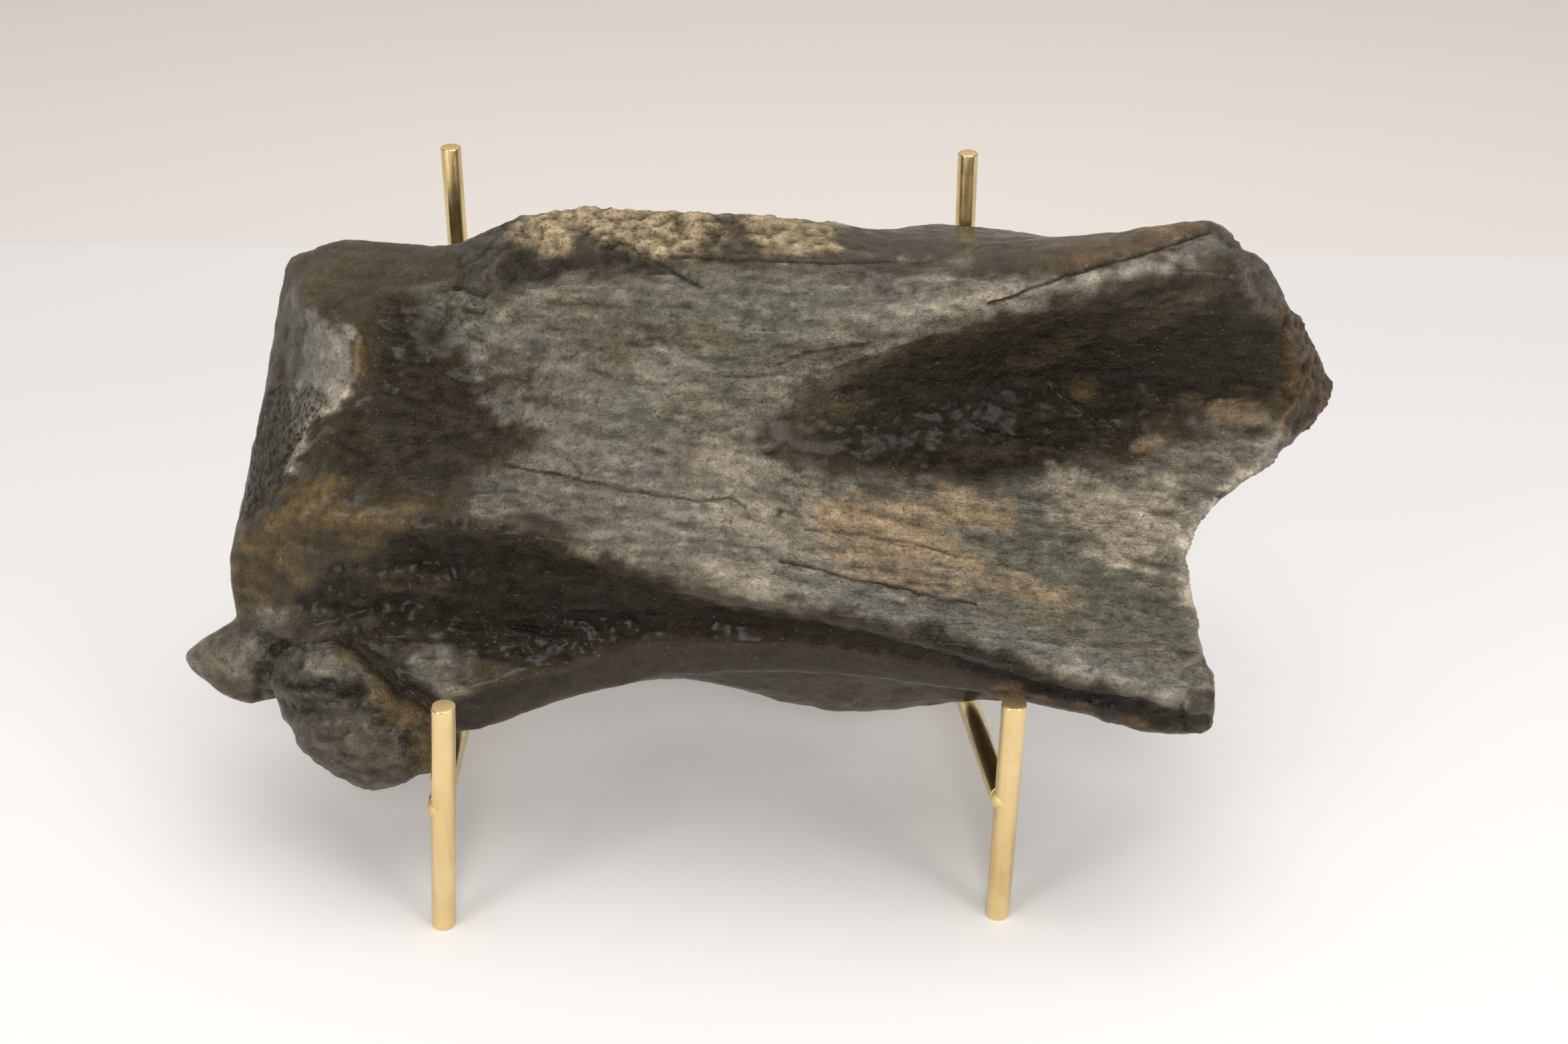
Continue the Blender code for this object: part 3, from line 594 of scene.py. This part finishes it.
def setTone(mesh, name, colours):
    item = mesh.attributes.new(name, "FLOAT_COLOR", "POINT")
    opaque = np.column_stack((colours, np.ones(len(colours))))
    item.data.foreach_set("color", opaque.astype(np.float32).ravel())


def mergedCopy(node, name):
    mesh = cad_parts[node].data.copy()
    mesh.name = name
    bm = bmesh.new()
    bm.from_mesh(mesh)
    bmesh.ops.remove_doubles(bm, verts=bm.verts, dist=0.001 * mm)
    bm.to_mesh(mesh)
    bm.free()
    mesh.materials.clear()
    piece = bpy.data.objects.new(name, mesh)
    bpy.context.scene.collection.objects.link(piece)
    return piece


def applyModifiers(piece):
    graph = bpy.context.evaluated_depsgraph_get()
    mesh = bpy.data.meshes.new_from_object(piece.evaluated_get(graph))
    old = piece.data
    piece.modifiers.clear()
    piece.data = mesh
    bpy.data.meshes.remove(old)
    mesh.name = piece.name


def frontShare(points, normals):
    # One where a point faces the viewer, none where it faces away
    toViewer = np.array(view["place"]) - points
    toViewer /= np.linalg.norm(toViewer, axis=1, keepdims=True)
    return smoothStep(-0.2, 0.05, np.einsum("ij,ij->i", toViewer, normals))


def refineLines(mesh):
    # Halves the mesh's faces beside cracks and narrow folds
    points = readPoints(mesh)
    seen = asSeen(toBone(points))
    front = frontShare(points, readNormals(mesh)) > 0.3
    near = np.zeros(len(points), dtype=bool)
    reach = bone["fineReach"]
    for strength, line in cracks.values():
        near |= lineDistance(seen, line) < reach
    for width, rise, line in folds.values():
        if width < reach:
            near |= lineDistance(seen, line) < reach + 0.2 + width
    near &= front
    bm = bmesh.new()
    bm.from_mesh(mesh)
    bm.verts.ensure_lookup_table()
    chosen = [edge for edge in bm.edges if near[edge.verts[0].index] and near[edge.verts[1].index]]
    bmesh.ops.subdivide_edges(bm, edges=chosen, cuts=1, use_grid_fill=True, smooth=0.0)
    uneven = [face for face in bm.faces if len(face.verts) > 4]
    bmesh.ops.triangulate(bm, faces=uneven)
    bm.to_mesh(mesh)
    bm.free()


def markingDepths(seen, inMm):
    # How deep each vertex lies inside each marking, mm, with a ragged edge
    places = seen + (strayed("edgeWander", inMm) + strayed("edgeFray", inMm))
    return {name: insideDepth(places, outline) for name, outline in markings.items()}


def fitRims(mesh, points):
    # Slides the rims of the broken ends onto their outlines, in the flat of the face
    axes = boneAxes()
    facing = np.linalg.norm((readNormals(mesh) @ axes.T)[:, :2], axis=1)
    reach = bone["rimReach"]
    mean = neighbourMean(mesh)
    for outline in rims.values():
        seen = asSeen(toBone(points))
        outline = np.array(outline)
        rim = outline[:-rimClosing]
        inner = [*outline[-rimClosing - 1:], outline[0]]
        toRim = lineDistance(seen, rim)
        depth = np.where(insideDepth(seen, outline) < 0, -toRim, toRim)
        chosen = np.where((toRim < lineDistance(seen, inner) * 0.9) & (depth < reach) & (toRim < 12.0))[0]
        best = np.full(len(chosen), 1e9)
        slide = np.zeros((len(chosen), 2))
        for start, end in zip(rim[:-1], rim[1:]):
            span = end - start
            f = np.clip((seen[chosen] - start) @ span / (span @ span), 0.0, 1.0)
            gap = start + f[:, None] * span - seen[chosen]
            size = np.linalg.norm(gap, axis=1)
            closer = size < best
            best[closer] = size[closer]
            slide[closer] = gap[closer]
        edgewise = smoothStep(0.45, 0.85, facing[chosen]) * (1 - smoothStep(reach * 0.6, reach, best))
        share = np.where(depth[chosen] < 0, 1.0, edgewise)
        moved = np.zeros((len(points), 2))
        moved[chosen] = slide * share[:, None]
        for turn in range(3):
            moved = mean(moved)
        points += moved @ axes[:2] * mm
    return points


def alongBone(points, stretch):
    # Coordinates stretched along the bone, a little down to the right, for streaks and wrinkles
    local = toBone(points)
    return np.column_stack((local[:, 0] / stretch, local[:, 1] + local[:, 0] * bone["slant"], local[:, 2]))


def raiseRelief(mesh, points, seen, front, depths):
    inMm = points * 1000
    normals = readNormals(mesh)
    rise = np.zeros(len(points))
    for name, (height, soft) in swells.items():
        rise += height * smoothStep(-soft, soft, depths[name]) * front
    bend = strayed("waver", inMm)
    for width, height, line in folds.values():
        gap = lineDistance(seen + bend, line)
        rise += height * np.exp(-(gap / width)**2) * front
    for strength, line in cracks.values():
        gap = lineDistance(seen + bend * 0.7, line)
        rise -= bone["crackDepth"] * strength * np.exp(-(gap / bone["crackWidth"])**2) * front
    rough = textureField("rough", depths, front, 0.12)
    wide = noiseField("grain", inMm)
    grainy = noiseField("coarseGrain", inMm)
    rise += bone["grain"] * wide + bone["coarseGrain"] * rough * (grainy + 0.5 * wide)
    crest = np.maximum.reduce([depths[name] for name in ("crestTan", "crestRight", "crestGap")])
    knobbly = noiseField("knobbly", inMm)
    rise += bone["crestGrain"] * smoothStep(-1.5, 1.5, crest) * front * (0.9 - 2.2 * np.abs(knobbly))
    wrinkled = 1 - 2.6 * np.abs(noiseField("wrinkles", alongBone(points, bone["wrinkleStretch"])))
    rise += bone["wrinkles"] * textureField("wrinkle", depths, front, 0.12) * wrinkled
    # Broken faces at the right end are chipped
    atEnd = smoothStep(116.0, 126.0, seen[:, 0]) * smoothStep(-4.0, 8.0, seen[:, 1])
    broken = np.where(atEnd * (1 - smoothStep(0.3, 0.8, normals @ boneAxes()[2])) > 0.02)[0]
    chips = np.array([noise.voronoi(Vector(inMm[index] / 5.0))[0][0] for index in broken])
    rise[broken] += bone["chips"] * (0.5 - chips)
    return points + normals * (rise * mm)[:, None]


def textureField(name, depths, front, least=0.0):
    value = np.full(len(front), least)
    for marking, strength in textures[name].items():
        mask = smoothStep(-1.5, 1.5, depths[marking]) * front
        value = np.maximum(value, mask * strength)
    return value


def cover(colour, tone, share):
    return colour * (1 - share[:, None]) + np.array(tones[tone]) * share[:, None]


def paintBone(mesh, points, seen, front, depths):
    inMm = points * 1000
    patchy, spots, broad = (noiseField(name, inMm) for name in ("patchy", "spots", "broad"))
    streaks = noiseField("streaks", alongBone(points, bone["streakStretch"]))
    # The unseen sides take grey, dark and ochre patches from noise alone
    colour = np.tile(np.array(tones["umber"]), (len(points), 1))
    layers = (("stone", 0.05, 0.5, broad + 0.3 * spots), ("moss", 0.15, 0.6, -broad + 0.3 * spots),
        ("ochre", 0.35, 0.75, patchy + 0.25 * spots))
    for tone, low, high, field in layers:
        colour = cover(colour, tone, smoothStep(low, high, field) * 0.75 * (1 - 0.85 * front))
    frayed = 2.6 * (0.4 * spots + 0.9 * patchy + 0.9 * streaks)
    for name, tone, strength, soft, broken in coats:
        mask = smoothStep(-soft, soft, depths[name] + min(soft, 3.5) * broken * frayed)
        colour = cover(colour, tone, mask * strength * front)
    for centre, size, turn, tone, strength in stains:
        angle = math.radians(turn)
        across = seen - np.array(centre)
        along = across @ np.array((math.cos(angle), math.sin(angle))) / size[0]
        aside = across @ np.array((-math.sin(angle), math.cos(angle))) / size[1]
        radius = np.sqrt(along**2 + aside**2) + 0.35 * spots + 0.2 * patchy
        colour = cover(colour, tone, (1 - smoothStep(0.6, 1.15, radius)) * strength * front)
    # Painted shade in the hollows and painted highlight on the proud edges
    mean = neighbourMean(mesh)
    rounded = points
    for turn in range(6):
        rounded = mean(rounded)
    proud = np.einsum("ij,ij->i", points - rounded, readNormals(mesh)) * 1000
    colour *= (1 - bone["cavityShade"] * smoothStep(0.02, 0.35, -proud))[:, None]
    colour *= (1 + bone["edgeHighlight"] * smoothStep(0.05, 0.4, proud))[:, None]
    colour *= (1 + bone["mottling"] * (patchy + spots) + bone["streaks"] * streaks)[:, None].clip(0.3, 2.0)
    dark = np.zeros(len(points))
    bend = strayed("waver", inMm)
    uneven = np.clip(0.8 + 0.9 * noiseField("crackFade", inMm), 0.15, 1.0)
    for strength, line in cracks.values():
        gap = lineDistance(seen + bend * 0.7, line)
        dark = np.maximum(dark, strength * uneven * (1 - smoothStep(0.1, 0.65, gap)) * front)
    setTone(mesh, "tone", np.clip(colour, 0.003, 1.0))
    setValue(mesh, "crack", dark)
    for name, least in (("rough", 0.15), ("wrinkle", 0.15), ("pits", 0.0), ("gloss", 0.2)):
        setValue(mesh, name, textureField(name, depths, front, least))


fossil = {
    "grainSize": 1500.0, "mottleSize": 420.0, "fleckSize": 900.0, "dustSize": 1250.0,  # features a metre
    "wrinkleSize": 430.0, "wrinkleWidth": 0.38, "wrinkleDepth": 4.4, "pitSize": 560.0, "pitDepth": 3.2,
    "fleck": (0.020, 0.018, 0.013, 1), "dust": (0.34, 0.31, 0.26, 1), "gap": (0.010, 0.009, 0.007, 1),
    "grainContrast": (0.74, 1.26), "mottleContrast": (0.75, 1.25),
    "fleckShare": 0.5, "dustShare": 0.4, "pitShade": 0.85,
    "smoothest": 0.16, "dullest": 0.32, "roughDulling": 0.22, "polish": -0.10, "bumpHeight": 0.0019,
    "sheenLevel": 0.3, "sheenTint": (1.0, 0.88, 0.70, 1), "darkDulling": 0.04,
    "glaze": 0.14, "glazeRoughness": 0.2,
}


def addNode(tree, kind, settings=None, **inputs):
    # An input is a value or another node's output; i0, i1 and i2 go by number, and _ stands for a space
    node = tree.nodes.new("ShaderNode" + kind)
    for name, value in (settings or {}).items():
        setattr(node, name, value)
    for name, value in inputs.items():
        numbered = name in ("i0", "i1", "i2")
        socket = node.inputs[int(name[1:]) if numbered else name.replace("_", " ")]
        if isinstance(value, bpy.types.NodeSocket):
            tree.links.new(value, socket)
        else:
            socket.default_value = value
    return node


def spread(tree, value, low, high, toLow, toHigh):
    inputs = {"Value": value, "From_Min": low, "From_Max": high, "To_Min": toLow, "To_Max": toHigh}
    return addNode(tree, "MapRange", **inputs).outputs["Result"]


def combine(tree, operation, first, second, third=None):
    inputs = {"i0": first, "i1": second}
    if third is not None:
        inputs["i2"] = third
    return addNode(tree, "Math", {"operation": operation}, **inputs).outputs["Value"]


def noiseNode(tree, place, size, detail, **more):
    return addNode(tree, "TexNoise", Vector=place, Scale=size, Detail=detail, **more).outputs["Fac"]


def tint(tree, share, base, colour):
    return addNode(tree, "Mix", {"data_type": "RGBA"}, Factor=share, A=base, B=colour).outputs["Result"]


def fossilMaterial():
    material = bpy.data.materials.new("fossilBone")
    material.use_nodes = True
    tree = material.node_tree
    shader = tree.nodes["Principled BSDF"]
    place = addNode(tree, "TexCoord").outputs["Object"]
    marks = {}
    for name in ("crack", "rough", "wrinkle", "pits", "gloss"):
        marks[name] = addNode(tree, "Attribute", {"attribute_name": name}).outputs["Fac"]
    tone = addNode(tree, "Attribute", {"attribute_name": "tone"}).outputs["Color"]

    # Colour: the painted tone, its grain, dark flecks, pale dust and the cracks
    grain = noiseNode(tree, place, fossil["grainSize"], 3.0, Roughness=0.6)
    mottle = noiseNode(tree, place, fossil["mottleSize"], 5.0, Roughness=0.68)
    fleck = noiseNode(tree, place, fossil["fleckSize"], 2.0, Distortion=0.4)
    dust = noiseNode(tree, place, fossil["dustSize"], 1.0, Distortion=0.2)
    strength = spread(tree, grain, 0.3, 0.7, *fossil["grainContrast"])
    broader = spread(tree, mottle, 0.35, 0.65, *fossil["mottleContrast"])
    strength = combine(tree, "MULTIPLY", strength, broader)
    scaled = addNode(tree, "VectorMath", {"operation": "SCALE"}, Vector=tone, Scale=strength)
    grained = scaled.outputs["Vector"]
    flecked = tint(tree, spread(tree, fleck, 0.58, 0.68, 0.0, fossil["fleckShare"]), grained, fossil["fleck"])
    dusty = tint(tree, spread(tree, dust, 0.70, 0.80, 0.0, fossil["dustShare"]), flecked, fossil["dust"])
    cells = addNode(tree, "TexVoronoi", {"feature": "SMOOTH_F1"}, Vector=place, Scale=fossil["pitSize"],
        Smoothness=0.3)
    pit = cells.outputs["Distance"]
    hole = combine(tree, "MULTIPLY", marks["pits"], spread(tree, pit, 0.18, 0.42, fossil["pitShade"], 0.0))
    colour = tint(tree, combine(tree, "MAXIMUM", marks["crack"], hole), dusty, fossil["gap"])
    tree.links.new(colour, shader.inputs["Base Color"])

    # Sheen: polished on the smooth faces, dull where it is rough
    sheen = spread(tree, mottle, 0.35, 0.65, fossil["smoothest"], fossil["dullest"])
    sheen = combine(tree, "MULTIPLY_ADD", marks["rough"], fossil["roughDulling"], sheen)
    sheen = combine(tree, "MULTIPLY_ADD", marks["gloss"], fossil["polish"], sheen)
    lightness = addNode(tree, "RGBToBW", Color=tone).outputs["Val"]
    sheen = combine(tree, "ADD", sheen, spread(tree, lightness, 0.015, 0.08, fossil["darkDulling"], 0.0))
    tree.links.new(sheen, shader.inputs["Roughness"])

    shader.inputs["Specular IOR Level"].default_value = fossil["sheenLevel"]
    shader.inputs["Specular Tint"].default_value = fossil["sheenTint"]
    shader.inputs["Coat Weight"].default_value = fossil["glaze"]
    shader.inputs["Coat Roughness"].default_value = fossil["glazeRoughness"]

    # Relief: grain, lengthwise wrinkles and pits
    turn = (-math.radians(bone["lean"]), 0, 0)
    longer = (fossil["wrinkleWidth"], 1.0, 1.0)
    turned = addNode(tree, "Mapping", Vector=place, Rotation=turn, Scale=longer).outputs["Vector"]
    folded = noiseNode(tree, turned, fossil["wrinkleSize"], 4.0, Roughness=0.6, Distortion=0.7)
    crease = combine(tree, "ABSOLUTE", combine(tree, "SUBTRACT", folded, 0.5), 0.0)
    height = combine(tree, "MULTIPLY", grain, combine(tree, "MULTIPLY_ADD", marks["rough"], 0.9, 0.3))
    height = combine(tree, "ADD", height, combine(tree, "MULTIPLY", mottle, 0.6))
    for pattern, mark, depth in ((crease, "wrinkle", "wrinkleDepth"), (pit, "pits", "pitDepth")):
        raised = combine(tree, "MULTIPLY", pattern, combine(tree, "MULTIPLY", marks[mark], fossil[depth]))
        height = combine(tree, "ADD", height, raised)
    bump = addNode(tree, "Bump", Strength=1.0, Distance=fossil["bumpHeight"], Height=height)
    tree.links.new(bump.outputs["Normal"], shader.inputs["Normal"])
    return material


def makeBone():
    piece = mergedCopy("fossil_bone", "boneBody")
    remesh = piece.modifiers.new("fine mesh", "REMESH")
    remesh.mode = "VOXEL"
    remesh.voxel_size = bone["voxel"] * mm
    applyModifiers(piece)
    mesh = piece.data
    writePoints(mesh, evenOut(mesh, readPoints(mesh), bone["smoothing"]))
    refineLines(mesh)
    points = readPoints(mesh)
    seen = asSeen(toBone(points))
    front = frontShare(points, readNormals(mesh))
    depths = markingDepths(seen, points * 1000)
    points = fitRims(mesh, raiseRelief(mesh, points, seen, front, depths))
    low, high = (np.array(corner) for corner in cadBox)
    points = np.clip(points, low + bone["inset"] * mm, high - bone["inset"] * mm)
    writePoints(mesh, points)
    paintBone(mesh, points, seen, front, depths)
    mesh.shade_smooth()
    print("bone triangles", sum(len(face.vertices) - 2 for face in mesh.polygons))
    mesh.materials.append(fossilMaterial())
    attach(piece, "root")
    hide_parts("fossil_bone")


makeBone()
print("bone made")


# Stand

stand = {
    "sides": 48, "endRounding": 0.45, "thick": 3.175, "thin": 2.8,  # radii of the rods, mm
    "strutLean": 104.7, "barLean": 90.0, "sharpFrom": 40.0,
}
brass = {
    "gold": (0.82, 0.64, 0.33, 1), "dull": (0.66, 0.47, 0.21, 1), "polished": 0.16, "handled": 0.36,
    "sanded": 0.6, "streak": 1400.0, "streakWidth": 0.03, "smudge": 70.0, "scratch": 0.00004,
}

# Ends of the rods, from foot or front to tip or back, mm
rods = {
    "stand.leg.left": {"node": "stand_leg_left", "rod": "thick",
        "from": (-84.046, -63.763, 0), "to": (-79.246, -63.763, 69.0)},
    "stand.leg.right": {"node": "stand_leg_right", "rod": "thick",
        "from": (62.754, -59.663, 0), "to": (63.954, -59.663, 67.2)},
    "stand.post.left": {"node": "stand_post_left", "rod": "thin",
        "from": (-86.646, 64.138, 0), "to": (-86.646, 64.138, 169.8)},
    "stand.post.right": {"node": "stand_post_right", "rod": "thin",
        "from": (57.154, 64.138, 0), "to": (57.154, 64.138, 168.1)},
    "stand.strut.left": {"node": "stand_strut_left", "rod": "thick",
        "from": (-82.346, -63.763, 38.2), "to": (-90.046, 64.138, 4.6)},
    "stand.strut.right": {"node": "stand_strut_right", "rod": "thick",
        "from": (62.154, -59.663, 38.0), "to": (56.454, 64.138, 7.8)},
    "stand.bar": {"node": "stand_cross_bar", "rod": "thin",
        "from": (-86.646, 64.138, 32.0), "to": (57.154, 64.138, 32.0)},
}

# Beads of brazing metal on a rod: centre and half sizes, mm
beads = {
    "stand.strut.left": [((-82.0, -63.0, 37.6), (3.75, 3.75, 3.4))],
    "stand.strut.right": [((62.8, -58.9, 37.6), (3.75, 3.75, 3.4))],
    "stand.bar": [((-86.2, 63.2, 32.0), (3.4, 3.4, 3.2)), ((56.7, 63.2, 32.0), (3.4, 3.4, 3.2))],
}


def rodMesh(start, end, radius, level):
    span = end - start
    bm = bmesh.new()
    bmesh.ops.create_cone(bm, cap_ends=True, segments=stand["sides"], radius1=radius, radius2=radius,
        depth=span.length)
    bmesh.ops.translate(bm, verts=bm.verts, vec=(0, 0, span.length / 2))
    endEdges = [edge for edge in bm.edges if any(len(face.verts) > 4 for face in edge.link_faces)]
    bmesh.ops.bevel(bm, geom=endEdges, offset=stand["endRounding"] * mm, segments=4, profile=0.5,
        affect="EDGES", material=-1)
    if level:
        # A leaning rod is sheared, so its foot and tip stay level
        for vert in bm.verts:
            share = vert.co.z / span.length
            vert.co.x += span.x * share
            vert.co.z = span.z * share
        bmesh.ops.translate(bm, verts=bm.verts, vec=start)
    else:
        turn = span.to_track_quat("Z", "Y").to_matrix().to_4x4()
        bm.transform(Matrix.Translation(start) @ turn)
    return bm


def brassMaterial(name, lean):
    # Drawn brass: streaks along the rod, smudges from handling and a sanded end
    material = bpy.data.materials.new(name)
    material.use_nodes = True
    tree = material.node_tree
    shader = tree.nodes["Principled BSDF"]
    shader.inputs["Metallic"].default_value = 1.0
    place = addNode(tree, "TexCoord").outputs["Object"]
    longer = (1.0, 1.0, brass["streakWidth"])
    turned = addNode(tree, "Mapping", Vector=place, Rotation=lean, Scale=longer).outputs["Vector"]
    streak = noiseNode(tree, turned, brass["streak"], 3.0, Roughness=0.6)
    smudge = noiseNode(tree, place, brass["smudge"], 3.0, Roughness=0.6)
    sanded = addNode(tree, "Attribute", {"attribute_name": "sanded"}).outputs["Fac"]
    smudged = spread(tree, smudge, 0.35, 0.7, 0.0, 1.0)
    worn = combine(tree, "MULTIPLY", spread(tree, streak, 0.35, 0.7, 0.4, 1.0), smudged)
    tree.links.new(tint(tree, worn, brass["gold"], brass["dull"]), shader.inputs["Base Color"])
    shine = spread(tree, smudge, 0.35, 0.7, brass["polished"], brass["handled"])
    shine = combine(tree, "MAXIMUM", shine, combine(tree, "MULTIPLY", sanded, brass["sanded"]))
    tree.links.new(shine, shader.inputs["Roughness"])
    bump = addNode(tree, "Bump", Strength=1.0, Distance=brass["scratch"], Height=streak)
    tree.links.new(bump.outputs["Normal"], shader.inputs["Normal"])
    return material


def addBead(bm, place, halfSizes):
    # Brazing metal where two rods meet
    bead = Matrix.Translation(Vector(place) * mm) @ Matrix.Diagonal([*(Vector(halfSizes) * mm), 1.0])
    bmesh.ops.create_uvsphere(bm, u_segments=32, v_segments=20, radius=1.0, matrix=bead)


def makeRod(name, material):
    facts = rods[name]
    start = Vector(facts["from"]) * mm
    end = Vector(facts["to"]) * mm
    bm = rodMesh(start, end, stand[facts["rod"]] * mm, "strut" not in name and "bar" not in name)
    for place, halfSizes in beads.get(name, ()):
        addBead(bm, place, halfSizes)
    mesh = bpy.data.meshes.new(name)
    bm.to_mesh(mesh)
    bm.free()
    along = (readPoints(mesh) - np.array(start)) @ np.array((end - start).normalized())
    inset = stand["endRounding"] * mm * 0.5
    length = (end - start).length
    setValue(mesh, "sanded", ((along < inset) | (along > length - inset)).astype(float))
    mesh.shade_smooth()
    mesh.set_sharp_from_angle(angle=math.radians(stand["sharpFrom"]))
    mesh.materials.append(material)
    piece = bpy.data.objects.new(name, mesh)
    bpy.context.scene.collection.objects.link(piece)
    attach(piece, "root")
    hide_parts(facts["node"])


def makeStand():
    upright = brassMaterial("brassUpright", (0.0, 0.0, 0.0))
    sloping = brassMaterial("brassSloping", (math.radians(stand["strutLean"]), 0.0, 0.0))
    level = brassMaterial("brassLevel", (0.0, math.radians(stand["barLean"]), 0.0))
    for name in rods:
        makeRod(name, sloping if "strut" in name else level if "bar" in name else upright)


makeStand()
print("stand made")
